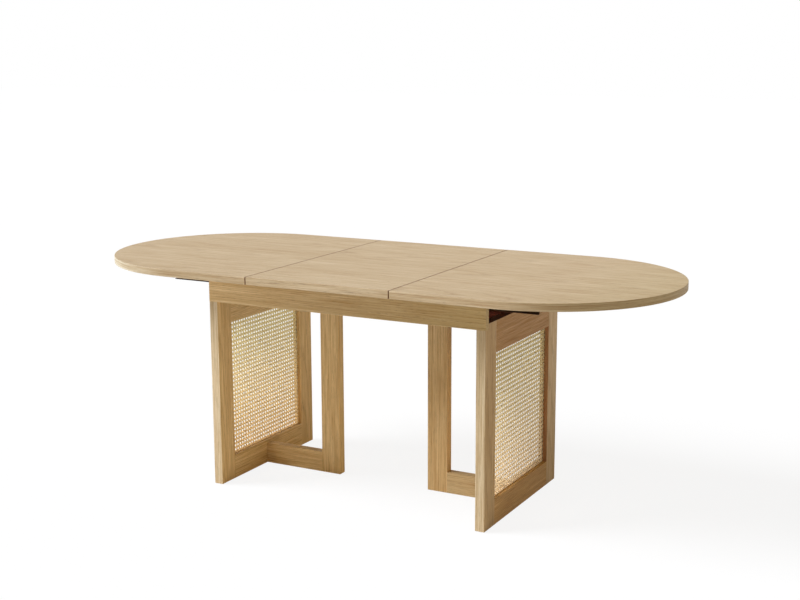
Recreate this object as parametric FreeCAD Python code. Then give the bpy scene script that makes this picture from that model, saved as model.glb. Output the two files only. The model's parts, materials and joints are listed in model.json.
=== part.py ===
import FreeCAD
import Part
import math
import os

# An extending dining table with a butterfly leaf, standing open with the leaf in place.
# X runs along the table, -Y is its front and +Z is up. The origin is on the floor under the middle of the top.
# Lengths are in millimetres and angles in degrees.

# Top and leaf
table_height = 750.0
top_width = 866.0
top_thickness = 24.0
end_straight = 313.0
leaf_length = 502.0
seam_gap = 2.0
fold_gap = 0.5
edge_round = 1.2
hinge_radius = 7.0
hinge_depth = 28.0
hinge_place_shares = (-0.36, 0.0, 0.36)

# Base: two T-shaped legs under a pair of aprons
base_length = 996.0
base_depth = 573.0
panel_thickness = 31.0
stile_width = 75.0
panel_bottom_rail_height = 81.0
panel_top_rail_height = 99.0
apron_height = 96.0
apron_thickness = 20.0
apron_lap = 19.0
rest_gap = 4.0
post_gap = 337.0
post_width = 71.0
open_thickness = 31.0
open_bottom_rail_height = 70.0
open_top_rail_height = 60.0
cross_rail_height = 40.0
arris_round = 1.0
cane_thickness = 2.4
cane_groove_depth = 6.0
cane_play = 0.2
corner_block_leg = 45.0
corner_block_height = 40.0
glide_radius = 10.0
glide_height = 2.0

# Pads that the leaf rests on, in place and stowed
leaf_pad_length = 40.0
leaf_pad_width = 14.0
leaf_pad_place_share = 0.34
stow_pad_length = 40.0
stow_pad_width = 24.0
stow_pad_height = 3.5
stow_pad_spacing = 300.0
stow_play = 0.5

# Steel slides inside the aprons, and the angles that hang the end tops on them
slide_height = 40.0
slide_depth = 12.0
slide_wall = 1.6
slide_play = 0.4
slide_length = 470.0
slide_middle_gap = 24.0
slide_top_gap = 3.0
runner_length = 395.0
runner_reach = 155.0
angle_height = 36.0
angle_leg = 26.0
angle_wall = 2.0
angle_length = 330.0
angle_setback = 48.0

# Swing arms that lower the folded leaf into the base
arm_half_sweep = 68.5
arm_spacing = 150.0
arm_width = 20.0
arm_thickness = 5.0
arm_play = 0.3
arm_standoff = 10.0
wing_standoff = 9.5
bracket_wall = 3.0
pivot_drop = 12.0
pivot_setback = 19.5
pin_radius = 5.0
pin_shoulder_radius = 8.0
pin_head_thickness = 3.0
pin_play = 0.05
open_pivot_play = 0.3
pivot_plate_height = 32.0
plate_margin = 18.0
ear_width = 24.0
wing_plate_width = 24.0

# Screws and dowels
screw_radius = 1.9
screw_length = 14.0
screw_head_radius = 3.6
screw_head_height = 1.8
screw_place_shares = (0.1, 0.5, 0.9)
plate_screw_shares = (0.25, 0.5, 0.75)
dowel_radius = 4.0
dowel_length = 44.0
blind_dowel_depth = 13.0
dowel_pair_shares = (0.35, 0.72)
cross_dowel_shares = (0.22, 0.55)

# A length far below any size of the table, to tell which edges lie on a plane
touch = 0.001

# Places worked out from the sizes above
underside = table_height - top_thickness
top_half_width = top_width / 2
leaf_half = leaf_length / 2
end_start = leaf_half + seam_gap
base_half = base_length / 2
base_half_depth = base_depth / 2
panel_inner = base_half - panel_thickness
panel_middle = base_half - panel_thickness / 2
stile_inner = base_half_depth - stile_width
apron_inner = base_half_depth - apron_thickness
apron_top = underside - rest_gap
apron_bottom = apron_top - apron_height
panel_top = apron_bottom + apron_lap
opening_low = glide_height + panel_bottom_rail_height
opening_high = panel_top - panel_top_rail_height
post_inner = post_gap / 2
post_outer = post_inner + post_width
post_middle = post_inner + post_width / 2
cross_rail_top = apron_bottom + cross_rail_height
slide_inner = apron_inner - slide_depth
slide_top = underside - slide_top_gap
slide_low = slide_top - slide_height
runner_low = slide_low + slide_wall + slide_play
runner_top = slide_top - slide_wall - slide_play
runner_end = base_half + runner_reach
runner_start = runner_end - runner_length
angle_start = end_start + angle_setback
angle_end = angle_start + angle_length

# The folded leaf is carried back to the middle of the base and down onto the stow pads
stow_shift = (top_half_width + fold_gap / 2) / 2
stow_drop = underside - (cross_rail_top + stow_pad_height + stow_play)
stow_chord = math.hypot(stow_shift, stow_drop)
arm_length = stow_chord / (2 * math.sin(math.radians(arm_half_sweep)))
arm_middle_angle = 90 - math.degrees(math.atan2(stow_drop, stow_shift))
arm_rest_angle = arm_middle_angle + arm_half_sweep
arm_run = arm_length * math.cos(math.radians(arm_rest_angle))
arm_rise = arm_length * math.sin(math.radians(arm_rest_angle))
wing_pivot_z = underside - pivot_drop
base_pivot_z = wing_pivot_z - arm_rise
front_wing_pivot_y = pivot_setback - slide_inner
rear_wing_pivot_y = front_wing_pivot_y + arm_spacing
front_base_pivot_y = front_wing_pivot_y - arm_run
rear_base_pivot_y = rear_wing_pivot_y - arm_run
arm_outer = post_inner - bracket_wall - arm_standoff
arm_inner = arm_outer - arm_thickness
ear_outer = arm_inner - wing_standoff
ear_inner = ear_outer - bracket_wall


def about(middle, size):
    """The limits of a size that lies evenly about its middle."""
    return (middle - size / 2, middle + size / 2)


def block(x_span, y_span, z_span):
    """A box between a pair of limits along each axis."""
    corner = FreeCAD.Vector(x_span[0], y_span[0], z_span[0])
    return Part.makeBox(x_span[1] - x_span[0], y_span[1] - y_span[0], z_span[1] - z_span[0], corner)


def rod(radius, start, end):
    """A round bar between two points."""
    along = end - start
    return Part.makeCylinder(radius, along.Length, start, along)


def cross_rod(radius, x_span, y, z):
    """A round bar along X."""
    return rod(radius, FreeCAD.Vector(x_span[0], y, z), FreeCAD.Vector(x_span[1], y, z))


def profile(points, x_span):
    """A straight section along X, from its outline in Y and Z."""
    corners = [FreeCAD.Vector(x_span[0], y, z) for y, z in points + points[:1]]
    return Part.Face(Part.makePolygon(corners)).extrude(FreeCAD.Vector(x_span[1] - x_span[0], 0, 0))


def to_left(shape):
    """The same piece on the left half of the table."""
    return shape.mirror(FreeCAD.Vector(0, 0, 0), FreeCAD.Vector(1, 0, 0))


def to_front(shape):
    """The same piece on the front half of the table."""
    return shape.mirror(FreeCAD.Vector(0, 0, 0), FreeCAD.Vector(0, 1, 0))


def as_made(shape):
    """The piece where it was made, on the right or at the rear."""
    return shape


def group(shapes):
    """Separate solids kept together, such as a set of screws."""
    return Part.makeCompound(shapes)


def spread(low, high, shares):
    """Places along a stretch, at shares of its length."""
    return [low + (high - low) * share for share in shares]


def rounded(shape, radius, chosen):
    """A piece with its chosen edges rounded."""
    return shape.makeFillet(radius, [edge for edge in shape.Edges if chosen(edge.BoundBox)])


def end_top():
    """The right end of the top: a straight stretch that ends in a half circle."""
    arc_start = end_start + end_straight
    corners = [
        FreeCAD.Vector(end_start, -top_half_width, underside),
        FreeCAD.Vector(arc_start, -top_half_width, underside),
        FreeCAD.Vector(arc_start + top_half_width, 0, underside),
        FreeCAD.Vector(arc_start, top_half_width, underside),
        FreeCAD.Vector(end_start, top_half_width, underside),
    ]
    edges = [
        Part.LineSegment(corners[0], corners[1]).toShape(),
        Part.Arc(corners[1], corners[2], corners[3]).toShape(),
        Part.LineSegment(corners[3], corners[4]).toShape(),
        Part.LineSegment(corners[4], corners[0]).toShape(),
    ]
    board = Part.Face(Part.Wire(edges)).extrude(FreeCAD.Vector(0, 0, top_thickness))
    board = rounded(board, edge_round, lambda box: box.ZLength < touch and box.XMax > end_start + touch)
    return board.cut(end_top_screws())


def rear_wing_board():
    """The rear half of the leaf, with the outer edge rounded like the rest of the top."""
    board = block((-leaf_half, leaf_half), (fold_gap / 2, top_half_width), (underside, table_height))
    outer = top_half_width - touch
    return rounded(board, edge_round, lambda box: box.ZLength < touch and box.YMin > outer)


def hinge_barrels():
    """Concealed hinge halves, sunk into the rear wing's edge at the fold line."""
    middle = underside + top_thickness / 2
    start = fold_gap / 2
    barrels = []
    for share in hinge_place_shares:
        x = leaf_length * share
        end = FreeCAD.Vector(x, start + hinge_depth, middle)
        barrels.append(rod(hinge_radius, FreeCAD.Vector(x, start, middle), end))
    return group(barrels)


def front_wing():
    """The front half of the leaf, which the swing arms carry."""
    return to_front(rear_wing_board().cut(hinge_barrels())).cut(wing_bracket_screws())


def rear_wing():
    """The rear half of the leaf, which folds onto the front half."""
    return rear_wing_board().cut(hinge_barrels())


def rear_apron():
    """The long board under the rear of the top, from end to end of the base."""
    board = block((-base_half, base_half), (apron_inner, base_half_depth), (apron_bottom, apron_top))
    outer = base_half_depth - touch
    board = rounded(board, arris_round, lambda box: box.YMin > outer and box.ZMax < apron_bottom + touch)
    screws = group([slide_screws(), to_left(slide_screws())])
    dowels = group([cross_rail_dowels(), to_left(cross_rail_dowels())])
    return board.cut(screws).cut(dowels)


def cane_seat():
    """The groove all round the panel's opening that holds the cane."""
    half = stile_inner + cane_groove_depth
    height = (opening_low - cane_groove_depth, opening_high + cane_groove_depth)
    return block(about(panel_middle, cane_thickness + 2 * cane_play), (-half, half), height)


def cane():
    """The sheet of cane webbing in the panel's groove."""
    half = stile_inner + cane_groove_depth - cane_play
    reach = cane_groove_depth - cane_play
    return block(about(panel_middle, cane_thickness), (-half, half), (opening_low - reach, opening_high + reach))


def rear_stile():
    """The upright at the rear of a cane panel, notched at its top for the apron."""
    upright = block((panel_inner, base_half), (stile_inner, base_half_depth), (glide_height, panel_top))
    notch = block((panel_inner, base_half), (apron_inner, base_half_depth), (apron_bottom, panel_top))
    upright = upright.cut(notch)
    outer = base_half_depth - touch
    upright = rounded(upright, arris_round, lambda box: box.YMin > outer and box.ZLength > stile_width)
    return upright.cut(cane_seat()).cut(panel_dowels())


def panel_rail(z_span):
    """A rail between the two stiles of a cane panel."""
    rail = block((panel_inner, base_half), (-stile_inner, stile_inner), z_span)
    return rail.cut(cane_seat()).cut(panel_dowels()).cut(open_frame_dowels())


def open_post():
    """The upright of the open frame at the middle of the table's depth."""
    post = block((post_inner, post_outer), about(0, open_thickness), (glide_height, apron_bottom))
    inner = post_inner + touch
    post = rounded(post, arris_round, lambda box: box.XMax < inner and box.ZLength > post_width)
    return post.cut(open_frame_dowels()).cut(cross_rail_dowels())


def open_rail(z_span):
    """A rail between the open frame's post and the cane panel."""
    rail = block((post_outer, panel_inner), about(0, open_thickness), z_span)
    return rail.cut(open_frame_dowels())


def cross_rail():
    """The rail from apron to apron over the open post, which carries the leaf's pivots."""
    rail = block((post_inner, post_outer), (-apron_inner, apron_inner), (apron_bottom, cross_rail_top))
    return rail.cut(cross_rail_dowels()).cut(pivot_plate_screws())


def panel_dowels():
    """Dowels between the rails and the stiles of a cane panel."""
    dowels = []
    for low, high in ((glide_height, opening_low), (opening_high, panel_top)):
        for z in spread(low, high, dowel_pair_shares):
            for y in (-stile_inner, stile_inner):
                start, end = about(y, dowel_length)
                dowels.append(
                    rod(dowel_radius, FreeCAD.Vector(panel_middle, start, z), FreeCAD.Vector(panel_middle, end, z))
                )
    return group(dowels)


def open_rail_spans():
    """The heights of the open frame's bottom rail and top rail."""
    bottom = (glide_height, glide_height + open_bottom_rail_height)
    return (bottom, (apron_bottom - open_top_rail_height, apron_bottom))


def open_frame_dowels():
    """Dowels from the open frame's rails into its post and into the cane panel."""
    dowels = []
    for low, high in open_rail_spans():
        for z in spread(low, high, dowel_pair_shares):
            dowels.append(cross_rod(dowel_radius, about(post_outer, dowel_length), 0, z))
            panel_span = (panel_inner - dowel_length / 2, panel_inner + blind_dowel_depth)
            dowels.append(cross_rod(dowel_radius, panel_span, 0, z))
    return group(dowels)


def cross_rail_dowels():
    """Dowels from the cross rail into the post below it and into the aprons at its ends."""
    dowels = []
    rail_middle = (apron_bottom + cross_rail_top) / 2
    for x in spread(post_inner, post_outer, cross_dowel_shares):
        low, high = about(apron_bottom, dowel_length)
        dowels.append(rod(dowel_radius, FreeCAD.Vector(x, 0, low), FreeCAD.Vector(x, 0, high)))
        for side in (-1, 1):
            start = side * (apron_inner - dowel_length / 2)
            end = side * (apron_inner + blind_dowel_depth)
            dowels.append(
                rod(dowel_radius, FreeCAD.Vector(x, start, rail_middle), FreeCAD.Vector(x, end, rail_middle))
            )
    return group(dowels)


def leg_dowels():
    """All the dowels of one leg."""
    solids = []
    for dowels in (panel_dowels(), open_frame_dowels(), cross_rail_dowels()):
        solids.extend(dowels.Solids)
    return group(solids)


def corner_block():
    """The three-cornered block that ties the apron to the panel."""
    corner = FreeCAD.Vector(panel_inner, apron_inner, apron_bottom)
    points = [
        corner,
        corner - FreeCAD.Vector(corner_block_leg, 0, 0),
        corner - FreeCAD.Vector(0, corner_block_leg, 0),
        corner,
    ]
    return Part.Face(Part.makePolygon(points)).extrude(FreeCAD.Vector(0, 0, corner_block_height))


def four_corners(shape):
    """A piece at each corner of the base."""
    right = [shape, to_front(shape)]
    return group(right + [to_left(piece) for piece in right])


def foot_glides():
    """Round glides under the stiles and posts, which the table stands on."""
    stile_y = base_half_depth - stile_width / 2
    places = [(panel_middle, -stile_y), (panel_middle, stile_y), (post_middle, 0)]
    glides = []
    for x, y in places:
        glides.append(rod(glide_radius, FreeCAD.Vector(x, y, 0), FreeCAD.Vector(x, y, glide_height)))
    return group(glides + [to_left(glide) for glide in glides])


def leaf_pad():
    """A felt pad on the apron, under the leaf."""
    x_span = about(leaf_length * leaf_pad_place_share, leaf_pad_length)
    return block(x_span, about(base_half_depth - apron_thickness / 2, leaf_pad_width), (apron_top, underside))


def stow_pad():
    """A felt pad on the cross rail, under the stowed leaf."""
    y_span = about(stow_pad_spacing / 2, stow_pad_length)
    return block(about(post_middle, stow_pad_width), y_span, (cross_rail_top, cross_rail_top + stow_pad_height))


def screw(seat, into):
    """A pan-head screw: the seat is under its head and it runs into the wood."""
    shank = rod(screw_radius, seat, seat + into * screw_length)
    return shank.fuse(rod(screw_head_radius, seat - into * screw_head_height, seat))


def slide_span():
    """The length of a fixed slide along the apron."""
    start = slide_middle_gap / 2
    return (start, start + slide_length)


def slide():
    """The fixed steel channel on the rear apron's inner face, open towards the middle of the table."""
    outline = [
        (apron_inner, slide_low),
        (apron_inner, slide_top),
        (slide_inner, slide_top),
        (slide_inner, slide_top - slide_wall),
        (apron_inner - slide_wall, slide_top - slide_wall),
        (apron_inner - slide_wall, slide_low + slide_wall),
        (slide_inner, slide_low + slide_wall),
        (slide_inner, slide_low),
    ]
    return profile(outline, slide_span()).cut(slide_screws())


def slide_screws():
    """The screws of one slide, inside its channel."""
    middle = (slide_low + slide_top) / 2
    into = FreeCAD.Vector(0, 1, 0)
    seats = [FreeCAD.Vector(x, apron_inner - slide_wall, middle) for x in spread(*slide_span(), screw_place_shares)]
    return group([screw(seat, into) for seat in seats])


def runner():
    """The channel that runs in the slide and carries the end top."""
    outer = apron_inner - slide_wall - slide_play
    outline = [
        (slide_inner, runner_low),
        (slide_inner, runner_top),
        (outer, runner_top),
        (outer, runner_top - slide_wall),
        (slide_inner + slide_wall, runner_top - slide_wall),
        (slide_inner + slide_wall, runner_low + slide_wall),
        (outer, runner_low + slide_wall),
        (outer, runner_low),
    ]
    return profile(outline, (runner_start, runner_end))


def angle():
    """The steel angle between a runner and the underside of the end top."""
    outline = [
        (slide_inner, underside),
        (slide_inner, underside - angle_height),
        (slide_inner - angle_wall, underside - angle_height),
        (slide_inner - angle_wall, underside - angle_wall),
        (slide_inner - angle_leg, underside - angle_wall),
        (slide_inner - angle_leg, underside),
    ]
    return profile(outline, (angle_start, angle_end)).cut(end_top_screws())


def end_top_screws():
    """The screws from both angles up into the end top."""
    y = slide_inner - (angle_leg + angle_wall) / 2
    screws = []
    for x in spread(angle_start, angle_end, screw_place_shares):
        for side in (-1, 1):
            screws.append(screw(FreeCAD.Vector(x, side * y, underside - angle_wall), FreeCAD.Vector(0, 0, 1)))
    return group(screws)


def swing_arm(base_pivot_y, wing_pivot_y, wing_hole_play):
    """A flat arm with round ends, from a pivot on the cross rail up to a pivot under the front wing."""
    base_pivot = FreeCAD.Vector(arm_inner, base_pivot_y, base_pivot_z)
    wing_pivot = FreeCAD.Vector(arm_inner, wing_pivot_y, wing_pivot_z)
    along = (wing_pivot - base_pivot).normalize() * (arm_width / 2)
    across = FreeCAD.Vector(0, -along.z, along.y)
    edges = [
        Part.LineSegment(base_pivot + across, wing_pivot + across).toShape(),
        Part.Arc(wing_pivot + across, wing_pivot + along, wing_pivot - across).toShape(),
        Part.LineSegment(wing_pivot - across, base_pivot - across).toShape(),
        Part.Arc(base_pivot - across, base_pivot - along, base_pivot + across).toShape(),
    ]
    plate = Part.Face(Part.Wire(edges)).extrude(FreeCAD.Vector(arm_thickness, 0, 0))
    x_span = (arm_inner, arm_outer)
    plate = plate.cut(cross_rod(pin_radius + pin_play, x_span, base_pivot_y, base_pivot_z))
    return plate.cut(cross_rod(pin_radius + wing_hole_play, x_span, wing_pivot_y, wing_pivot_z))


def front_arm():
    """The arm nearer the front, whose two pivots both fit closely."""
    return swing_arm(front_base_pivot_y, front_wing_pivot_y, pin_play)


def rear_arm():
    """The arm nearer the rear, whose upper pivot fits loosely."""
    return swing_arm(rear_base_pivot_y, rear_wing_pivot_y, open_pivot_play)


def base_pivot_pins():
    """Shouldered pins from the pivot plate through the lower ends of the arms."""
    head = arm_inner - arm_play
    shoulder = (arm_outer + arm_play, post_inner - bracket_wall)
    pins = []
    for y in (front_base_pivot_y, rear_base_pivot_y):
        pin = cross_rod(pin_radius, (head, post_inner), y, base_pivot_z)
        pin = pin.fuse(cross_rod(pin_shoulder_radius, shoulder, y, base_pivot_z))
        pins.append(pin.fuse(cross_rod(pin_shoulder_radius, (head - pin_head_thickness, head), y, base_pivot_z)))
    return group(pins)


def wing_pivot_pins():
    """Shouldered pins from the wing bracket's ears through the upper ends of the arms."""
    head = arm_outer + arm_play
    shoulder = (ear_outer, arm_inner - arm_play)
    pins = []
    for y in (front_wing_pivot_y, rear_wing_pivot_y):
        pin = cross_rod(pin_radius, (ear_inner, head), y, wing_pivot_z)
        pin = pin.fuse(cross_rod(pin_shoulder_radius, shoulder, y, wing_pivot_z))
        pins.append(pin.fuse(cross_rod(pin_shoulder_radius, (head, head + pin_head_thickness), y, wing_pivot_z)))
    return group(pins)


def pivot_plate_span():
    """The length of a pivot plate along the cross rail."""
    return (front_base_pivot_y - plate_margin, rear_base_pivot_y + plate_margin)


def pivot_plate():
    """The plate on the cross rail's inner face that holds the lower pivot pins."""
    z_span = about(base_pivot_z, pivot_plate_height)
    plate = block((post_inner - bracket_wall, post_inner), pivot_plate_span(), z_span)
    return plate.cut(base_pivot_pins()).cut(pivot_plate_screws())


def pivot_plate_screws():
    """The screws of one pivot plate."""
    places = spread(*pivot_plate_span(), plate_screw_shares)
    into = FreeCAD.Vector(1, 0, 0)
    return group([screw(FreeCAD.Vector(post_inner - bracket_wall, y, base_pivot_z), into) for y in places])


def wing_bracket_span():
    """The length of a wing bracket under the front wing."""
    return (front_wing_pivot_y - ear_width / 2, rear_wing_pivot_y + ear_width / 2)


def wing_bracket():
    """The bracket under the front wing, with two round-ended ears that hang down beside the arms."""
    plate_span = (ear_outer - wing_plate_width, ear_outer)
    bracket = block(plate_span, wing_bracket_span(), (underside - bracket_wall, underside))
    x_span = (ear_inner, ear_outer)
    for y in (front_wing_pivot_y, rear_wing_pivot_y):
        ear = block(x_span, about(y, ear_width), (wing_pivot_z, underside - bracket_wall))
        below = block(x_span, about(y, ear_width), (wing_pivot_z - ear_width / 2, wing_pivot_z))
        round_end = cross_rod(ear_width / 2, x_span, y, wing_pivot_z).common(below)
        bracket = bracket.fuse(ear).fuse(round_end)
    return bracket.removeSplitter().cut(wing_pivot_pins()).cut(right_wing_bracket_screws())


def right_wing_bracket_screws():
    """The screws of the right wing bracket."""
    x = ear_inner - (wing_plate_width - bracket_wall) / 2
    into = FreeCAD.Vector(0, 0, 1)
    places = spread(*wing_bracket_span(), screw_place_shares)
    return group([screw(FreeCAD.Vector(x, y, underside - bracket_wall), into) for y in places])


def wing_bracket_screws():
    """The screws of both wing brackets."""
    return both_sides(right_wing_bracket_screws())


def both_sides(shape):
    """The right-hand solids and their mirror images on the left, as one set."""
    return group(shape.Solids + to_left(shape).Solids)


def base_nodes():
    """The pieces of the base that come once."""
    return {
        "front_apron": to_front(rear_apron()),
        "rear_apron": rear_apron(),
        "corner_blocks": four_corners(corner_block()),
        "foot_glides": foot_glides(),
        "leaf_pads": four_corners(leaf_pad()),
        "stow_pads": four_corners(stow_pad()),
        "slide_screws": group(four_corners(slide_screws()).Solids),
        "base_pivot_pins": both_sides(base_pivot_pins()),
        "pivot_plate_screws": both_sides(pivot_plate_screws()),
    }


def leg_nodes():
    """The pieces of the right-hand leg."""
    bottom_span, top_span = open_rail_spans()
    return {
        "front_stile": to_front(rear_stile()),
        "rear_stile": rear_stile(),
        "panel_bottom_rail": panel_rail((glide_height, opening_low)),
        "panel_top_rail": panel_rail((opening_high, panel_top)),
        "cane": cane(),
        "open_post": open_post(),
        "open_bottom_rail": open_rail(bottom_span),
        "open_top_rail": open_rail(top_span),
        "cross_rail": cross_rail(),
        "leg_dowels": leg_dowels(),
        "front_slide": to_front(slide()),
        "rear_slide": slide(),
        "pivot_plate": pivot_plate(),
    }


def end_top_nodes():
    """The pieces that slide out with the right-hand end of the top."""
    return {
        "top": end_top(),
        "front_runner": to_front(runner()),
        "rear_runner": runner(),
        "front_angle": to_front(angle()),
        "rear_angle": angle(),
        "top_screws": end_top_screws(),
    }


def right_arm_nodes():
    """The right-hand pieces that carry the leaf."""
    return {
        "front_arm": front_arm(),
        "rear_arm": rear_arm(),
        "wing_bracket": wing_bracket(),
    }


def leaf_nodes():
    """The pieces of the leaf that come once."""
    return {
        "front_wing": front_wing(),
        "rear_wing": rear_wing(),
        "front_hinge_barrels": to_front(hinge_barrels()),
        "rear_hinge_barrels": hinge_barrels(),
        "wing_pivot_pins": both_sides(wing_pivot_pins()),
        "wing_bracket_screws": wing_bracket_screws(),
    }


def all_nodes():
    """Every piece of the table under its name."""
    nodes = base_nodes() | leaf_nodes()
    for side, place in (("left", to_left), ("right", as_made)):
        for name, shape in (leg_nodes() | end_top_nodes() | right_arm_nodes()).items():
            nodes[f"{side}_{name}"] = place(shape)
    return nodes


os.makedirs("parts", exist_ok=True)
for node_name, node_shape in all_nodes().items():
    node_shape.exportStep(f"parts/{node_name}.step")
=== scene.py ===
import json
import math

import bmesh
import bpy
import numpy as np
from mathutils import Matrix, Vector


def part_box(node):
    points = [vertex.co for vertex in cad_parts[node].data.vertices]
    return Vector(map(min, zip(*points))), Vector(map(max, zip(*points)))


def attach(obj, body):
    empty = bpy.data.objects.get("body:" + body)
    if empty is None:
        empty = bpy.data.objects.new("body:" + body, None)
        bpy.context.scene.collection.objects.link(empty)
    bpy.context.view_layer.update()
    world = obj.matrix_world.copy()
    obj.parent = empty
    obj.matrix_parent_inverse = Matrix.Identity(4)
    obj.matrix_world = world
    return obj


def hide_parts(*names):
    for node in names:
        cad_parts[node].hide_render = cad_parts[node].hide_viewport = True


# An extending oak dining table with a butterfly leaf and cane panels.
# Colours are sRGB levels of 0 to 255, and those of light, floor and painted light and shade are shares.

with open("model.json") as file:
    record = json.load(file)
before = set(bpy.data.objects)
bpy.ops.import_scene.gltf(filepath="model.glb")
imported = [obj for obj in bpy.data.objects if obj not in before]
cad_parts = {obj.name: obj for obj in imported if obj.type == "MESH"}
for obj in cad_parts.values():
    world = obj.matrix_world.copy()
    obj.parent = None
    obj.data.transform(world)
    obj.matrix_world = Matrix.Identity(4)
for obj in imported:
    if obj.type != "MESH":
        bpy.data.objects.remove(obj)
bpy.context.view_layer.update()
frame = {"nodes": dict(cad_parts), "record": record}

# Camera, from corners of the table in the photograph
IMAGE_WIDTH = 800
SENSOR_WIDTH = 36.0
FOCAL_PIXELS = 1320.41
CAMERA_PLACE = (2.06529, -3.74257, 1.46026)
CAMERA_YAW = math.radians(28.2)
CAMERA_DOWN = math.radians(11.06)
CAMERA_ROLL = math.radians(-0.21)

# Light
WHITE = (1.0, 1.0, 1.0, 1.0)
AMBIENT_COLOUR = (1.0, 0.86, 0.64)
AMBIENT_STRENGTH = 0.26
KEY_FROM = (-0.69, -0.36, 0.63)
KEY_ANGLE = math.radians(28)
KEY_STRENGTH = 4.6
KEY_COLOUR = (0.97, 1.0, 1.08)
FILL_FROM = (0.6, 0.7, 0.3)
FILL_ANGLE = math.radians(60)
FILL_STRENGTH = 0.32
FLOOR_HALF = 30.0
FLOOR_COLOUR = (0.88, 0.88, 0.88)
FLOOR_ROUGHNESS = 0.9
FLOOR_GLOW = 0.88

# Wood: its pale and its deep colour, and its gloss
TOP_OAK = ((191, 171, 138), (167, 142, 103))
TOP_GLOSS = 0.25
# The base's oak is set paler than the top's: painted light on its mostly shaded faces
BASE_OAK = ((213, 187, 147), (187, 156, 111))
BASE_GLOSS = 0.08
# Painted shade: a dark reddish-brown oak for the pieces inside the leaf's well, where shade falls
WELL_SHADE_OAK = ((94, 38, 16), (76, 27, 9))
BEECH = ((214, 180, 140), (192, 152, 110))
BEECH_GLOSS = 0.3
BEECH_PLACE = (0.3, 0.2, 0.1)
WOOD_ROUGH = (0.44, 0.6)
WOOD_BUMP = (0.25, 0.0002)

# Painted shade in the seams of the top and in the leaf's well: dark brown where shade falls
WELL_SHADE_COLOUR = (68, 24, 5)
SHADE_EDGE = 0.0003
SEAM_PLACE = 0.252
SEAM_HALF = 0.0017
SEAM_SHADE_COLOUR = (96, 52, 6)

# Growth rings
RING_SCALE = 66.0
RING_SQUEEZE = 0.05
RING_WAVER = 0.05
RING_DISTORTION = 1.4
RING_DETAIL = 1.0
RING_DETAIL_SCALE = 1.4
PITH_TILT = 0.02
BOARD_LEAF = 0.5
VENEER_LEAF = 0.16
EDGE_BAND_PITH = 0.12
UPRIGHT_SPAN = (0.6, 0.5)

# Noises of the grain: how far each is drawn out along it, then scale, detail and roughness
WAVER_NOISE = (0.09, 4.0, 0.6, 0.5)
BROAD_NOISE = (0.16, 8.0, 3.0, 0.5)
STREAK_NOISE = (0.018, 120.0, 3.0, 0.6)
FIBRE_NOISE = (0.014, 480.0, 4.0, 0.6)
PORE_NOISE = (0.045, 1000.0, 1.0, 0.5)

# Layers of the grain: a range of the rings or of a noise, and the shares that it is brought to
EARLY_WOOD = (0.0, 0.3, 1.0, 0.0)
RING_LINES = (0.35, 0.65, 0.12, 0.48)
PORE_SPOTS = (0.54, 0.64, 0.0, 1.0)
PORES_IN_RINGS = (0.0, 0.6, 0.25, 1.0)
DEEP_GROUND = (0.3, 0.7, 0.0, 0.5)
DEEP_RINGS = (0.2, 1.0, 0.0, 0.3)
DEEP_STREAKS = (0.46, 0.7, 0.0, 0.55)
LIGHT_STREAKS = (0.44, 0.28, 0.0, 0.65)
DARK_FIBRES = (0.47, 0.7, 0.0, 0.8)
LIGHT_FIBRES = (0.45, 0.28, 0.0, 0.8)
PORE_STRENGTH = 0.55
FIBRE_RELIEF = 0.4

# Colours of the layers, from the pale and the deep colour
LIGHT_LIFT = 14
DARK_SHARES = (0.88, 0.8, 0.68)
PORE_DARKNESS = 0.62

# The range of a noise that is brought to a range of roughness
ROUGHNESS_SPAN = (0.3, 0.7)

# How each way of the grain is turned onto X
GRAIN_TURNS = {
    "X": (0.0, 0.0, 0.0),
    "Y": (0.0, 0.0, -math.pi / 2),
    "Z": (0.0, math.pi / 2, 0.0),
}

# Where a board lies in its log: a step along the grain, and its least distance aside from the pith and
# above it, each with a step and the number of steps after which it starts again
BOARD_STEP = 1.37
BOARD_ASIDE = (0.03, 0.017, 5)
BOARD_ABOVE = (0.07, 0.013, 4)

# How far the colour of single boards is off: partly their own tone, partly painted shade, darker on the
# aprons and the right leg
BOARD_TONES_AND_SHADE = {
    "front_apron": (-5, -5, -10),
    "rear_apron": (-5, -5, -10),
    "right_front_stile": (-10, -10, -10),
    "right_panel_top_rail": (-20, -30, -35),
    "right_panel_bottom_rail": (-5, -15, -30),
    "right_open_post": (5, 0, -10),
    "right_open_bottom_rail": (-5, -5, -10),
}

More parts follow.
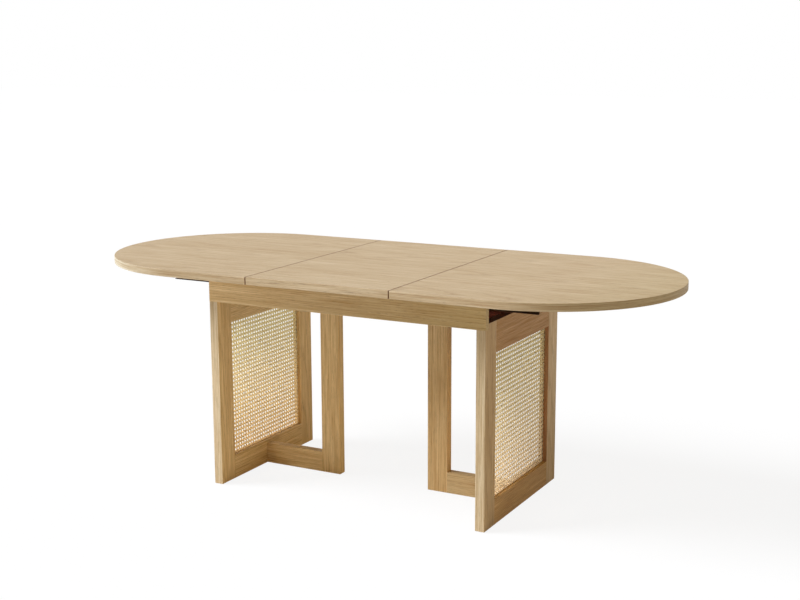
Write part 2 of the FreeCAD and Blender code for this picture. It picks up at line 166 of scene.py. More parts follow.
# Painted light and shade: tints of boards on faces that point one way, or towards one end, set to the shading
# that the lamps alone don't give. Tints of boards on faces that point one way, or towards one end, set by
# hand after the photograph's shading
STILE_FRONT_PAINTED_LIGHT = (1.05, 1.15, 1.3)
LEFT_INNER_PAINTED_LIGHT = (1.3, 1.25, 1.0)
LEFT_FRONT_PAINTED_LIGHT = (1.25, 1.2, 1.0)
LEFT_RIM_PAINTED_LIGHT = (1.2, 1.4, 1.7)
RIGHT_OUTER_PAINTED_SHADE = (0.95, 0.9, 0.8)
RIGHT_RECESS_PAINTED_SHADE = (0.7, 0.5, 0.4)
RIGHT_POST_PAINTED_LIGHT = (1.2, 1.2, 1.2)
LEFT_END_PAINTED_LIGHT = (1.3, 1.3, 1.3)
RIGHT_END_PAINTED_SHADE = (0.9, 0.9, 0.8)
PAINTED_FACE_SHADING = {
    "left_top": {"-X": LEFT_RIM_PAINTED_LIGHT},
    "left_front_stile": {"+X": LEFT_INNER_PAINTED_LIGHT, "-Y": STILE_FRONT_PAINTED_LIGHT},
    "left_rear_stile": {"+X": LEFT_INNER_PAINTED_LIGHT, "-Y": LEFT_FRONT_PAINTED_LIGHT},
    "left_panel_top_rail": {"+X": LEFT_INNER_PAINTED_LIGHT},
    "left_panel_bottom_rail": {"+X": LEFT_INNER_PAINTED_LIGHT},
    "left_open_post": {"+X": LEFT_INNER_PAINTED_LIGHT, "-Y": LEFT_FRONT_PAINTED_LIGHT},
    "left_open_bottom_rail": {"-Y": LEFT_FRONT_PAINTED_LIGHT},
    "front_apron": {"left end": LEFT_END_PAINTED_LIGHT, "right end": RIGHT_END_PAINTED_SHADE},
    "right_top": {"+X": RIGHT_OUTER_PAINTED_SHADE, "right end": RIGHT_END_PAINTED_SHADE},
    "right_front_stile": {"+X": RIGHT_OUTER_PAINTED_SHADE, "-Y": STILE_FRONT_PAINTED_LIGHT},
    "right_rear_stile": {"-Y": RIGHT_RECESS_PAINTED_SHADE},
    "right_panel_top_rail": {"+X": RIGHT_OUTER_PAINTED_SHADE},
    "right_panel_bottom_rail": {"+X": RIGHT_OUTER_PAINTED_SHADE},
    "right_open_post": {"+X": RIGHT_POST_PAINTED_LIGHT},
}
FULL_SHADING_FACING = 0.6

# Weave of the cane
CANE_PITCH = 0.01425
PAIR_SPACING = 0.0042
STRAND_WIDTH = 0.0041
DIAGONAL_WIDTH = 0.0038
STRAND_THICKNESS = 0.00046
PAIR_LIFT = 0.0004
DIAGONAL_LIFT = 0.0007
DIAGONAL_FLATNESS = 2.2
RINGS_PER_PITCH = 6
STRAND_CORNERS = 4
TONE_STEP = 7.31
MAP_FILL = 0.96

# Look of the cane, with a scale and a detail for each noise
CANE_TONES = ((255, 246, 218), (252, 238, 204))
CANE_MOTTLE_COLOUR = (246, 226, 180)
CANE_MOTTLE_NOISE = (60.0, 3.0)
CANE_MOTTLE_SHARES = (0.4, 0.7, 0.0, 0.4)
CANE_FLECK_COLOUR = (234, 206, 154)
CANE_FLECK_NOISE = (900.0, 2.0)
CANE_FLECK_SHARES = (0.55, 0.75, 0.0, 0.3)
CANE_GLOSS = 0.5
CANE_ROUGH = (0.34, 0.48)
CANE_BUMP = (0.2, 0.0001)
CANE_TRANSLUCENCY = 0.9
# The colour of the light through the cane: painted light high up and painted shade low down, most on the left
# panel, evening out the table top's shadow
CANE_GLOW_PAINTED_LIGHT_HIGH = (255, 250, 232)
CANE_GLOW_PAINTED_SHADE_LOW = {"left_cane": (242, 230, 208), "right_cane": (254, 246, 232)}
CANE_PAINTED_SHADING_SPAN = (0.12, 0.5)

# Metals: colour, worn colour, metallic share, gloss and range of roughness
METALS = {
    "black_steel": ((58, 36, 16), (70, 46, 23), 0.0, 0.12, (0.54, 0.68)),
    "zinc_steel": ((186, 188, 190), (160, 164, 168), 1.0, 0.5, (0.28, 0.42)),
    "hinge_brass": ((206, 172, 106), (178, 142, 80), 1.0, 0.5, (0.26, 0.4)),
}
METAL_MOTTLE_NOISE = (70.0, 4.0)
METAL_WORN_SPAN = (0.4, 0.7)
METAL_GRIT_NOISE = (1600.0, 2.0)
METAL_BUMP = (0.15, 0.0001)

# Nylon
NYLON_COLOURS = ((206, 196, 178), (190, 178, 158))
NYLON_CLOUD_NOISE = (90.0, 3.0)
NYLON_CLOUD_SPAN = (0.35, 0.7)
NYLON_GRAIN_NOISE = (1400.0, 2.0)
NYLON_ROUGH = (0.42, 0.55)
NYLON_BUMP = (0.2, 0.0001)

# Felt
FELT_COLOURS = ((74, 60, 48), (112, 94, 76))
FELT_FLUFF_NOISE = (260.0, 5.0, 0.7)
FELT_FLUFF_SPAN = (0.35, 0.7)
FELT_HAIR_TURN = (0.6, 0.9, 0.4)
FELT_HAIR_SQUEEZE = (1.0, 0.1, 1.0)
FELT_HAIR_NOISE = (1800.0, 2.0)
FELT_ROUGHNESS = 0.95
FELT_SHEEN = 0.4
FELT_BUMP = (0.6, 0.0006)

# Felt pads: shares of height and of fullness up the edge, then shares of the width over the crown
PAD_ROUND = 0.0012
PAD_EDGE_SHARES = ((0.0, 0.3), (0.12, 0.8), (0.35, 1.0), (0.7, 1.0), (0.92, 0.7), (1.0, 0.0))
PAD_CROWN_SHARES = (0.8, 0.5, 0.25)
PAD_STEPS = 72
PAD_SQUARENESS = 9.0
PAD_RAGGED = 0.0003
PAD_COARSE_WAVES = 5
PAD_COARSE_SHIFT = 9
PAD_FINE_WAVES = 11
PAD_FINE_SHIFT = 3
STOW_PAD_CROWN = 0.0005

# The signs of x and y at four corners, in turn
CORNERS = ((-1, -1), (1, -1), (1, 1), (-1, 1))


def linear(colour):
    """An sRGB colour of 0 to 255 as the linear colour that a socket takes."""
    values = []
    for part in colour:
        share = part / 255
        values.append(share / 12.92 if share <= 0.04045 else ((share + 0.055) / 1.055) ** 2.4)
    return (*values, 1.0)


def fill(tree, node, inputs):
    """Gives sockets of a node their values or links."""
    for key, value in inputs.items():
        socket = node.inputs[key]
        if isinstance(value, bpy.types.NodeSocket):
            tree.links.new(value, socket)
        else:
            socket.default_value = value


def add(tree, kind, inputs=None, **settings):
    """Adds a node, sets its properties and fills its sockets."""
    node = tree.nodes.new("ShaderNode" + kind)
    for name, value in settings.items():
        setattr(node, name, value)
    fill(tree, node, inputs or {})
    return node


def coordinates(tree, kind):
    """Where a point of a piece is, or which way its surface points, in the piece's own frame."""
    return add(tree, "TexCoord").outputs[kind]


def mapped(tree, vector, place=(0, 0, 0), turn=(0, 0, 0), scale=(1, 1, 1)):
    """Coordinates that are scaled, turned and then moved."""
    inputs = {"Vector": vector, "Location": place, "Rotation": turn, "Scale": scale}
    return add(tree, "Mapping", inputs).outputs["Vector"]


def split(tree, vector):
    """The X, Y and Z of a vector."""
    return add(tree, "SeparateXYZ", {"Vector": vector}).outputs


def joined(tree, x, y, z):
    """A vector from its X, Y and Z."""
    return add(tree, "CombineXYZ", {"X": x, "Y": y, "Z": z}).outputs["Vector"]


def noise(tree, vector, scale, detail, roughness=0.5):
    """Smooth noise of about 0 to 1."""
    inputs = {"Vector": vector, "Scale": scale, "Detail": detail, "Roughness": roughness}
    return add(tree, "TexNoise", inputs).outputs


def grain_noise(tree, along, squeeze, scale, detail, roughness):
    """Noise that is drawn out along the grain."""
    return noise(tree, mapped(tree, along, scale=(squeeze, 1.0, 1.0)), scale, detail, roughness)


def blend(tree, factor, first, second, way="MIX"):
    """Two colours mixed by a factor."""
    inputs = {0: factor, 6: first, 7: second}
    return add(tree, "Mix", inputs, data_type="RGBA", blend_type=way).outputs[2]


def fit(tree, value, low, high, to_low=0.0, to_high=1.0):
    """A value brought from one range to another."""
    inputs = {"Value": value, "From Min": low, "From Max": high, "To Min": to_low, "To Max": to_high}
    return add(tree, "MapRange", inputs).outputs["Result"]


def calculate(tree, way, first, second):
    """One step of arithmetic on two numbers."""
    return add(tree, "Math", {0: first, 1: second}, operation=way).outputs[0]


def absolute(tree, value):
    """A number without its sign."""
    return add(tree, "Math", {0: value}, operation="ABSOLUTE").outputs[0]


def vector_step(tree, way, first, second):
    """One step of arithmetic on two vectors."""
    return add(tree, "VectorMath", {0: first, 1: second}, operation=way).outputs[0]


def material(name):
    """A new material with its node tree and its main shader."""
    made = bpy.data.materials.new(name)
    made.use_nodes = True
    return made, made.node_tree, made.node_tree.nodes["Principled BSDF"]


def show_mixed(tree, factor, first, second):
    """Shows two shaders, mixed by a factor, on the surface."""
    mixed = add(tree, "MixShader", {0: factor, 1: first, 2: second})
    fill(tree, tree.nodes["Material Output"], {"Surface": mixed.outputs["Shader"]})


def bump(tree, shader, height, strength, distance):
    """Gives the shader a bump from a height."""
    node = add(tree, "Bump", {"Height": height, "Strength": strength, "Distance": distance})
    fill(tree, shader, {"Normal": node.outputs["Normal"]})


def shade_mask(tree, own, axis, centre, half):
    """The mask of painted shade: 1 where the distance along an axis, either way, is within half of a centre,
    and 0 elsewhere.
    """
    out = absolute(tree, split(tree, own)[axis])
    off = absolute(tree, calculate(tree, "SUBTRACT", out, centre))
    return fit(tree, off, half + SHADE_EDGE, half)


def upright(tree):
    """1 on upright faces and 0 on level ones."""
    facing = split(tree, coordinates(tree, "Normal"))["Z"]
    return fit(tree, absolute(tree, facing), *UPRIGHT_SPAN)


def with_painted_shading(tree, own, colour, way, shading, ends):
    """A colour made lighter or darker, as painted light and shade, on faces that point one way, such as -Y,
    or towards an end of the board.
    """
    if way in ends:
        middle = sum(ends.values()) / 2
        share = fit(tree, split(tree, own)["X"], middle, ends[way])
    else:
        sign, axis = way
        facing = split(tree, coordinates(tree, "Normal"))[axis]
        share = fit(tree, facing, 0.0, FULL_SHADING_FACING if sign == "+" else -FULL_SHADING_FACING)
    return blend(tree, share, colour, (*shading, 1.0), "MULTIPLY")


def edge_band(tree, own, flat, rim):
    """Coordinates that follow the upright rim of a rounded top, like an edge band, and are flat elsewhere."""
    centre, radius = rim
    x, y, z = split(tree, own)
    out = calculate(tree, "SUBTRACT", absolute(tree, x), centre)
    run = calculate(tree, "MULTIPLY", calculate(tree, "ARCTAN2", y, out), radius)
    band = joined(tree, run, z, EDGE_BAND_PITH)
    inputs = {0: upright(tree), 4: flat, 5: band}
    return add(tree, "Mix", inputs, data_type="VECTOR").outputs[1]


def growth_rings(tree, along, leaf):
    """0 to 1 over each ring round a pith that is tilted and wavers. Veneer leaves mirror one another."""
    x, y, z = split(tree, along)
    matched = joined(tree, x, calculate(tree, "PINGPONG", y, leaf), z)
    waver = grain_noise(tree, along, *WAVER_NOISE)["Color"]
    centred = vector_step(tree, "SUBTRACT", waver, (0.5, 0.5, 0.5))
    shift = vector_step(tree, "MULTIPLY", centred, (0.0, RING_WAVER, RING_WAVER))
    tilted = mapped(tree, matched, turn=(0.0, PITH_TILT, 0.0))
    squeezed = mapped(tree, tilted, scale=(RING_SQUEEZE, 1.0, 1.0))
    inputs = {
        "Vector": vector_step(tree, "ADD", squeezed, shift),
        "Scale": RING_SCALE,
        "Distortion": RING_DISTORTION,
        "Detail": RING_DETAIL,
        "Detail Scale": RING_DETAIL_SCALE,
    }
    rings = add(tree, "TexWave", inputs, wave_type="RINGS", rings_direction="X", wave_profile="SAW")
    return rings.outputs["Fac"]


def wood(name, grain, middle, place, tones, gloss, leaf=BOARD_LEAF, rim=None, shadings=None, ends=None,
         painted_shade=None):
    """Wood with growth rings, streaks, fibre and pores that run along the grain, under a matt lacquer."""
    made, tree, shader = material(name)
    own = coordinates(tree, "Object")
    centred = mapped(tree, own, place=[-part for part in middle])
    along = mapped(tree, centred, place=place, turn=GRAIN_TURNS[grain])
    if rim:
        along = edge_band(tree, own, along, rim)

    rings = growth_rings(tree, along, leaf)
    broad = grain_noise(tree, along, *BROAD_NOISE)["Fac"]
    streak = grain_noise(tree, along, *STREAK_NOISE)["Fac"]
    fibre = grain_noise(tree, along, *FIBRE_NOISE)["Fac"]
    pores = grain_noise(tree, along, *PORE_NOISE)["Fac"]
    early = fit(tree, rings, *EARLY_WOOD)
    line_share = calculate(tree, "MULTIPLY", early, fit(tree, broad, *RING_LINES))
    in_rings = fit(tree, early, *PORES_IN_RINGS)
    pore_share = calculate(tree, "MULTIPLY", fit(tree, pores, *PORE_SPOTS), in_rings)

    pale, deep = tones
    light = [min(255, level + LIGHT_LIFT) for level in pale]
    dark = [level * share for level, share in zip(deep, DARK_SHARES)]
    hollow = [level * PORE_DARKNESS for level in deep]
    layers = (
        (fit(tree, broad, *DEEP_GROUND), deep),
        (fit(tree, rings, *DEEP_RINGS), deep),
        (fit(tree, streak, *DEEP_STREAKS), deep),
        (fit(tree, streak, *LIGHT_STREAKS), light),
        (fit(tree, fibre, *DARK_FIBRES), dark),
        (fit(tree, fibre, *LIGHT_FIBRES), light),
        (line_share, dark),
        (calculate(tree, "MULTIPLY", pore_share, PORE_STRENGTH), hollow),
    )
    colour = linear(pale)
    for share, tone in layers:
        colour = blend(tree, share, colour, linear(tone))
    # Painted light and shade: the board lighter or darker on faces that point one way or towards an end
    for way, shading in (shadings or {}).items():
        colour = with_painted_shading(tree, own, colour, way, shading, ends)
    # Painted shade: dark brown in the seams of the top and on faces that close the leaf's well
    if painted_shade:
        where, shade_colour = painted_shade
        colour = blend(tree, shade_mask(tree, own, *where), colour, linear(shade_colour))

    roughness = fit(tree, fibre, *ROUGHNESS_SPAN, *WOOD_ROUGH)
    fill(tree, shader, {"Base Color": colour, "Roughness": roughness, "Specular IOR Level": gloss})
    relief = calculate(tree, "MULTIPLY", fibre, FIBRE_RELIEF)
    bump(tree, shader, calculate(tree, "SUBTRACT", relief, pore_share), *WOOD_BUMP)
    return made


def cane_material(node):
    """Peeled cane: pale, with a slight gloss, a tone for each strand and fine flecks. Light goes through, its
    colour with painted light high up and painted shade low down.
    """
    made, tree, shader = material(node)
    own = coordinates(tree, "Object")
    tone = add(tree, "Attribute", attribute_name="tone").outputs["Fac"]
    mottle = noise(tree, own, *CANE_MOTTLE_NOISE)["Fac"]
    fleck = noise(tree, own, *CANE_FLECK_NOISE)["Fac"]
    first, second = CANE_TONES
    colour = blend(tree, tone, linear(first), linear(second))
    colour = blend(tree, fit(tree, mottle, *CANE_MOTTLE_SHARES), colour, linear(CANE_MOTTLE_COLOUR))
    colour = blend(tree, fit(tree, fleck, *CANE_FLECK_SHARES), colour, linear(CANE_FLECK_COLOUR))
    roughness = fit(tree, mottle, *ROUGHNESS_SPAN, *CANE_ROUGH)
    fill(tree, shader, {"Base Color": colour, "Roughness": roughness, "Specular IOR Level": CANE_GLOSS})
    bump(tree, shader, fleck, *CANE_BUMP)
    # Painted light and shade: the light through the cane changes with height
    height = fit(tree, split(tree, own)["Z"], *CANE_PAINTED_SHADING_SPAN)
    painted_glow = blend(tree, height, linear(CANE_GLOW_PAINTED_SHADE_LOW[node]), linear(CANE_GLOW_PAINTED_LIGHT_HIGH))
    through = add(tree, "BsdfTranslucent", {"Color": painted_glow})
    show_mixed(tree, CANE_TRANSLUCENCY, shader.outputs["BSDF"], through.outputs["BSDF"])
    return made


def metal_material(name, fresh, worn, metallic, gloss, rough):
    """Coated, plated or plain metal with faint mottling and a fine surface texture."""
    made, tree, shader = material(name)
    own = coordinates(tree, "Object")
    mottle = noise(tree, own, *METAL_MOTTLE_NOISE)["Fac"]
    grit = noise(tree, own, *METAL_GRIT_NOISE)["Fac"]
    colour = blend(tree, fit(tree, mottle, *METAL_WORN_SPAN), linear(fresh), linear(worn))
    roughness = fit(tree, grit, *ROUGHNESS_SPAN, *rough)
    fill(tree, shader, {"Base Color": colour, "Roughness": roughness})
    fill(tree, shader, {"Metallic": metallic, "Specular IOR Level": gloss})
    bump(tree, shader, grit, *METAL_BUMP)
    return made


def felt_material():
    """Pressed brown felt with loose fibres."""
    made, tree, shader = material("felt")
    own = coordinates(tree, "Object")
    fluff = noise(tree, own, *FELT_FLUFF_NOISE)["Fac"]
    strewn = mapped(tree, own, turn=FELT_HAIR_TURN, scale=FELT_HAIR_SQUEEZE)
    hairs = noise(tree, strewn, *FELT_HAIR_NOISE)["Fac"]
    dark, pale = FELT_COLOURS
    colour = blend(tree, fit(tree, fluff, *FELT_FLUFF_SPAN), linear(dark), linear(pale))
    fill(tree, shader, {"Base Color": colour, "Roughness": FELT_ROUGHNESS, "Sheen Weight": FELT_SHEEN})
    bump(tree, shader, calculate(tree, "ADD", fluff, hairs), *FELT_BUMP)
    return made


def nylon_material():
    """Beige moulded nylon."""
    made, tree, shader = material("nylon")
    own = coordinates(tree, "Object")
    cloud = noise(tree, own, *NYLON_CLOUD_NOISE)["Fac"]
    grain = noise(tree, own, *NYLON_GRAIN_NOISE)["Fac"]
    pale, dark = NYLON_COLOURS
    colour = blend(tree, fit(tree, cloud, *NYLON_CLOUD_SPAN), linear(pale), linear(dark))
    roughness = fit(tree, grain, *ROUGHNESS_SPAN, *NYLON_ROUGH)
    fill(tree, shader, {"Base Color": colour, "Roughness": roughness})
    bump(tree, shader, grain, *NYLON_BUMP)
    return made


def grain_of(node):
    """The way the grain runs in a wooden piece."""
    if node.endswith(("stile", "post", "blocks")):
        return "Z"
    if node.endswith(("panel_bottom_rail", "panel_top_rail", "cross_rail")):
        return "Y"
    return "X"


def painted_shade_of(node):
    """Where a board has painted shade, as axis, centre and half width, and the colour of that shade.

    The tops and the leaf get painted shade at their seams, other boards on faces that close the leaf's well.
    """
    low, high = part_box(node)
    if node.endswith(("_top", "_wing")):
        return ("X", SEAM_PLACE, SEAM_HALF), SEAM_SHADE_COLOUR
    if node.endswith("_apron"):
        return ("Y", 0.0, min(abs(low.y), abs(high.y))), WELL_SHADE_COLOUR
    if node.endswith(("stile", "panel_top_rail")):
        return ("Z", high.z, SHADE_EDGE), WELL_SHADE_COLOUR
    return None


def board_place(number):
    """Where a board lies in its log: along the grain, aside from the pith and above it."""
    place = [BOARD_STEP * number]
    for least, step, count in (BOARD_ASIDE, BOARD_ABOVE):
        place.append(least + step * (number % count))
    return place


def oak_board(node, number):
    """The oak of one piece, as a board of its own."""
    low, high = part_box(node)
    tones, gloss, leaf, rim = BASE_OAK, BASE_GLOSS, BOARD_LEAF, None
    if node.endswith(("_top", "_wing")):
        tones, gloss, leaf = TOP_OAK, TOP_GLOSS, VENEER_LEAF
    if node.endswith("_top"):
        rim = (max(abs(low.x), abs(high.x)) - high.y, high.y)
    # Pieces inside the leaf's well get the dark oak of painted shade
    if node.endswith(("open_top_rail", "cross_rail", "corner_blocks")):
        tones = WELL_SHADE_OAK
    tone_and_shade = BOARD_TONES_AND_SHADE.get(node, (0, 0, 0))
    tones = [[level + more for level, more in zip(tone, tone_and_shade)] for tone in tones]
    middle = (low + high) / 2
    shadings = PAINTED_FACE_SHADING.get(node)
    ends = {"left end": low.x, "right end": high.x}
    painted_shade = painted_shade_of(node)
    place = board_place(number)
    return wood("oak_" + node, grain_of(node), middle, place, tones, gloss, leaf, rim, shadings, ends, painted_shade)


def dress_nodes():
    """Gives every CAD node its material, and returns those of metal, felt, nylon, beech and cane by name."""
    finishes = {name: metal_material(name, *look) for name, look in METALS.items()}
    finishes["felt"] = felt_material()
    finishes["nylon"] = nylon_material()
    finishes["beech"] = wood("beech", "X", (0, 0, 0), BEECH_PLACE, BEECH, BEECH_GLOSS)
    boards = 0
    for part in frame["record"]["subparts"]:
        node = part["node"]
        slot = part["material_slot"]
        if slot == "oak":
            boards += 1
            finish = oak_board(node, boards)
        elif slot == "cane":
            finish = finishes[node] = cane_material(node)
        else:
            finish = finishes[slot]
        shown = frame["nodes"][node].data
        shown.materials.clear()
        shown.materials.append(finish)
    return finishes


def place_object(name, data):
    """A new object in the scene with the given data."""
    made = bpy.data.objects.new(name, data)
    bpy.context.scene.collection.objects.link(made)
    return made


class Strands:
    """Gathers cane strands as thin tubes with a lens-shaped section."""

    def __init__(self):
        self.points = []
        self.faces = []
        self.places = []
        self.tones = []
        self.count = 0

    def add(self, path, across, width):
        """One strand along a path of (depth, y, z) points, with its flat side across the given direction."""
        first = len(self.points)
        lengths = len(path) - 1
        half = width / 2
        thick = STRAND_THICKNESS / 2
        for depth, y, z in path:
            for side, lift in ((-half, 0.0), (0.0, thick), (half, 0.0), (0.0, -thick)):
                self.points.append((depth + lift, y + side * across[0], z + side * across[1]))
        for ring in range(lengths):
            for side in range(STRAND_CORNERS):
                low = first + STRAND_CORNERS * ring + side
                high = first + STRAND_CORNERS * ring + (side + 1) % STRAND_CORNERS
                self.faces.append((low, high, high + STRAND_CORNERS, low + STRAND_CORNERS))
                self.places.append((ring / lengths, (ring + 1) / lengths, side, self.count))
        last = first + STRAND_CORNERS * lengths
        for start, order in ((first, (3, 2, 1, 0)), (last, (0, 1, 2, 3))):
            self.faces.append(tuple(start + corner for corner in order))
            self.places.append((0.0, 0.0, 0, self.count))
        tone = 0.5 + 0.5 * math.sin(TONE_STEP * self.count)
        self.tones.extend([tone] * (STRAND_CORNERS * len(path)))
        self.count += 1

    def make(self, name, finish):
        """The strands as one object, whose map has a strip for each side of each strand."""
        mesh = bpy.data.meshes.new(name)
        mesh.from_pydata(self.points, [], self.faces)
        mesh.attributes.new("tone", "FLOAT", "POINT").data.foreach_set("value", self.tones)
        corners = []
        for start, end, side, strand in self.places:
            low = (strand + side / STRAND_CORNERS) / self.count
            high = (strand + (side + MAP_FILL) / STRAND_CORNERS) / self.count
            corners.extend([(start, low), (start, high), (end, high), (end, low)])
        bake_map = mesh.uv_layers.new(name="OFBake")
        bake_map.data.foreach_set("uv", np.array(corners, np.float32).ravel())
        mesh.shade_smooth()
        mesh.materials.append(finish)
        return place_object(name, mesh)


def pair_wave(distance):
    """How far a strand goes over one of a pair and under the other, at a distance from their middle."""
    share = distance / (PAIR_SPACING / 2)
    return PAIR_LIFT * share * math.exp((1 - share * share) / 2)


def diagonal_wave(distance):
    """How far a diagonal strand goes over each pair one way and under each pair the other way."""
    wave = math.cos(2 * math.pi * distance / CANE_PITCH)
    return DIAGONAL_LIFT * math.tanh(DIAGONAL_FLATNESS * wave) / math.tanh(DIAGONAL_FLATNESS)


def steps(low, high):
    """Evenly spaced places along a strand."""
    count = max(2, math.ceil((high - low) / CANE_PITCH * RINGS_PER_PITCH))
    return np.linspace(low, high, count + 1)


def pair_places(low, high):
    """The middles of the pairs of strands across a stretch, evenly about its middle."""
    count = int((high - low) / CANE_PITCH)
    middle = (low + high) / 2
    return [middle + (i - (count - 1) / 2) * CANE_PITCH for i in range(count)]


def from_pair(place, first):
    """How far a place is from the nearest pair, where one pair lies at first."""
    return (place - first + CANE_PITCH / 2) % CANE_PITCH - CANE_PITCH / 2


def cane_pairs(low, high, columns, rows):
    """The uprights and the levels of a panel, which lie in pairs."""
    middle = (low.x + high.x) / 2
    uprights = Strands()
    levels = Strands()
    for side, way in ((-PAIR_SPACING / 2, 1), (PAIR_SPACING / 2, -1)):
        for column in columns:
            path = []
            for z in steps(low.z, high.z):
                path.append((middle - way * pair_wave(from_pair(z, rows[0])), column + side, z))
            uprights.add(path, (1, 0), STRAND_WIDTH)
        for row in rows:
            path = []
            for y in steps(low.y, high.y):
                path.append((middle + way * pair_wave(from_pair(y, columns[0])), y, row + side))
            levels.add(path, (0, 1), STRAND_WIDTH)
    return uprights, levels


def cane_diagonals(low, high, columns, rows):
    """The diagonals of a panel, which lie singly, both ways."""
    middle = (low.x + high.x) / 2
    diagonals = Strands()
    across = math.sqrt(0.5)
    for slope in (1, -1):
        start = rows[0] - slope * columns[0] + CANE_PITCH / 2
        offsets = [z - slope * y for z in (low.z, high.z) for y in (low.y, high.y)]
        first = math.ceil((min(offsets) - start) / CANE_PITCH)
        last = math.floor((max(offsets) - start) / CANE_PITCH)
        for index in range(first, last + 1):
            offset = start + index * CANE_PITCH
            ends = sorted(slope * (z - offset) for z in (low.z, high.z))
            span = (max(low.y, ends[0]), min(high.y, ends[1]))
            if span[1] - span[0] < CANE_PITCH / 2:
                continue
            path = []
            for y in steps(*span):
                depth = middle + slope * diagonal_wave(from_pair(y, columns[0]))
                path.append((depth, y, offset + slope * y))
            diagonals.add(path, (-slope * across, across), DIAGONAL_WIDTH)
    return diagonals


def cane_panel(node, finish):
    """The woven cane of one panel: uprights and levels in pairs, and single diagonals both ways."""
    low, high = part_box(node)
    columns = pair_places(low.y, high.y)
    rows = pair_places(low.z, high.z)
    uprights, levels = cane_pairs(low, high, columns, rows)
    diagonals = cane_diagonals(low, high, columns, rows)
    for strands, name in ((uprights, "uprights"), (levels, "levels"), (diagonals, "diagonals")):
        piece = strands.make(f"{node}_{name}", finish)
        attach(piece, "base")
        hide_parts(node)


def pad_box(node, corner):
    """The low and the high corner of one of the pads of a CAD node."""
    points = []
    for vertex in frame["nodes"][node].data.vertices:
        if vertex.co.x * corner[0] > 0 and vertex.co.y * corner[1] > 0:
            points.append(vertex.co)
    low = Vector([min(point[axis] for point in points) for axis in range(3)])
    high = Vector([max(point[axis] for point in points) for axis in range(3)])
    return low, high


def squarish(turn, half):
    """The cosine or sine of an angle as a place across a squarish ring of some half width."""
    return math.copysign(abs(turn) ** (2 / PAD_SQUARENESS), turn) * half


def join_rings(mesh, lower, upper):
    """Faces between two rings of a pad."""
    for step in range(PAD_STEPS):
        after = (step + 1) % PAD_STEPS
        mesh.faces.new((lower[step], lower[after], upper[after], upper[step]))


def pad_edge(mesh, low, high, corner, crown):
    """The rings up a pad's soft, ragged edge."""
    middle = (low + high) / 2
    size = high - low
    rings = []
    for share, full in PAD_EDGE_SHARES:
        inset = PAD_ROUND * (1 - full)
        ring = []
        for step in range(PAD_STEPS):
            angle = 2 * math.pi * step / PAD_STEPS
            coarse = math.sin(PAD_COARSE_WAVES * angle + PAD_COARSE_SHIFT * share)
            fine = math.sin(PAD_FINE_WAVES * angle + PAD_FINE_SHIFT * corner[0])
            ragged = abs(PAD_RAGGED * coarse * fine)
            x = squarish(math.cos(angle), size.x / 2 - inset - ragged)
            y = squarish(math.sin(angle), size.y / 2 - inset - ragged)
            ring.append(mesh.verts.new((middle.x + x, middle.y + y, low.z + share * (size.z - crown))))
        rings.append(ring)
    return rings


def felt_pad(name, node, corner, crown, finish):
    """One felt pad in the place of a CAD pad, with a soft edge and, where nothing lies on it, a crown."""
    low, high = pad_box(node, corner)
    middle = (low + high) / 2
    mesh = bmesh.new()
    rings = pad_edge(mesh, low, high, corner, crown)
    for lower, upper in zip(rings, rings[1:]):
        join_rings(mesh, lower, upper)
    mesh.faces.new(list(reversed(rings[0])))
    inner = rings[-1]
    for share in PAD_CROWN_SHARES:
        ring = []
        for vertex in rings[-1]:
            x = middle.x + (vertex.co.x - middle.x) * share
            y = middle.y + (vertex.co.y - middle.y) * share
            ring.append(mesh.verts.new((x, y, high.z - crown * share * share)))
        join_rings(mesh, inner, ring)
        inner = ring
    top = mesh.verts.new((middle.x, middle.y, high.z))
    for step in range(PAD_STEPS):
        mesh.faces.new((inner[step], inner[(step + 1) % PAD_STEPS], top))
    data = bpy.data.meshes.new(name)
    mesh.to_mesh(data)
    mesh.free()
    data.shade_smooth()
    data.materials.append(finish)
    pad = place_object(name, data)
    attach(pad, "base")
    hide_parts(node)


def felt_pads(finish):
    """The pads under the leaf and those under the stowed leaf."""
    for node, crown in (("leaf_pads", 0.0), ("stow_pads", STOW_PAD_CROWN)):
        for number, corner in enumerate(CORNERS, 1):
            felt_pad(f"{node[:-1]}_{number}", node, corner, crown, finish)


def make_camera():
    """The camera at the photograph's place."""
    data = bpy.data.cameras.new("camera")
    data.sensor_width = SENSOR_WIDTH
    data.lens = FOCAL_PIXELS * SENSOR_WIDTH / IMAGE_WIDTH
    data.clip_end = 4 * FLOOR_HALF
    camera = place_object("camera", data)
    turn = Matrix.Rotation(CAMERA_YAW, 4, "Z") @ Matrix.Rotation(math.pi / 2 - CAMERA_DOWN, 4, "X")
    turn = turn @ Matrix.Rotation(CAMERA_ROLL, 4, "Z")
    camera.matrix_world = Matrix.Translation(CAMERA_PLACE) @ turn
    bpy.context.scene.camera = camera


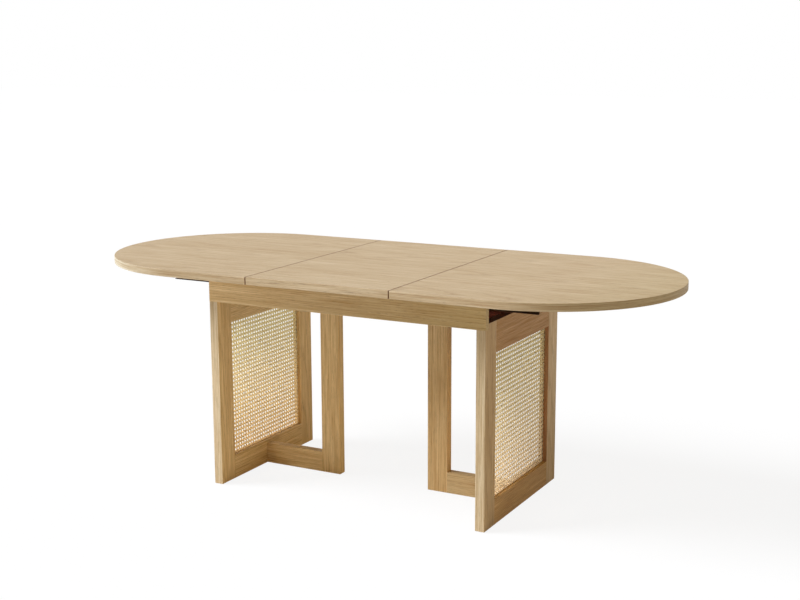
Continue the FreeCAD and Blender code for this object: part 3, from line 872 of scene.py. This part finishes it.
def seen_directly(tree):
    """1 for rays that show the surroundings, in view or in gloss and glass, and 0 for light on surfaces."""
    path = add(tree, "LightPath").outputs
    shown = calculate(tree, "MAXIMUM", path["Is Camera Ray"], path["Is Glossy Ray"])
    return calculate(tree, "MAXIMUM", shown, path["Is Transmission Ray"])


def make_world():
    """White surroundings that light the table softly from all round."""
    world = bpy.data.worlds.new("studio")
    bpy.context.scene.world = world
    world.use_nodes = True
    tree = world.node_tree
    seen = seen_directly(tree)
    colour = blend(tree, seen, (*AMBIENT_COLOUR, 1.0), WHITE)
    strength = fit(tree, seen, 0.0, 1.0, AMBIENT_STRENGTH, 1.0)
    fill(tree, tree.nodes["Background"], {"Color": colour, "Strength": strength})


def make_lamp(name, place, angle, strength, colour):
    """A wide soft lamp far off in one direction."""
    data = bpy.data.lights.new(name, "SUN")
    data.angle = angle
    data.energy = strength
    data.color = colour
    lamp = place_object(name, data)
    lamp.rotation_euler = Vector(place).to_track_quat("Z", "Y").to_euler()


def make_floor():
    """A pale floor that is white in view but for the table's shadow."""
    mesh = bpy.data.meshes.new("floor")
    mesh.from_pydata([(x * FLOOR_HALF, y * FLOOR_HALF, 0.0) for x, y in CORNERS], [], [(0, 1, 2, 3)])
    made, tree, shader = material("floor")
    fill(tree, shader, {"Base Color": (*FLOOR_COLOUR, 1.0), "Roughness": FLOOR_ROUGHNESS})
    fill(tree, shader, {"Specular IOR Level": 0.0})
    painted_glow = add(tree, "Emission", {"Color": WHITE, "Strength": 1.0})
    factor = fit(tree, seen_directly(tree), 0.0, 1.0, 0.0, FLOOR_GLOW)
    show_mixed(tree, factor, shader.outputs["BSDF"], painted_glow.outputs["Emission"])
    mesh.materials.append(made)
    floor = place_object("floor", mesh)


bpy.context.scene.view_settings.view_transform = "Standard"
make_camera()
make_world()
make_lamp("key", KEY_FROM, KEY_ANGLE, KEY_STRENGTH, KEY_COLOUR)
make_lamp("fill", FILL_FROM, FILL_ANGLE, FILL_STRENGTH, AMBIENT_COLOUR)
make_floor()
materials = dress_nodes()
for side in ("left", "right"):
    cane_panel(side + "_cane", materials[side + "_cane"])
felt_pads(materials["felt"])
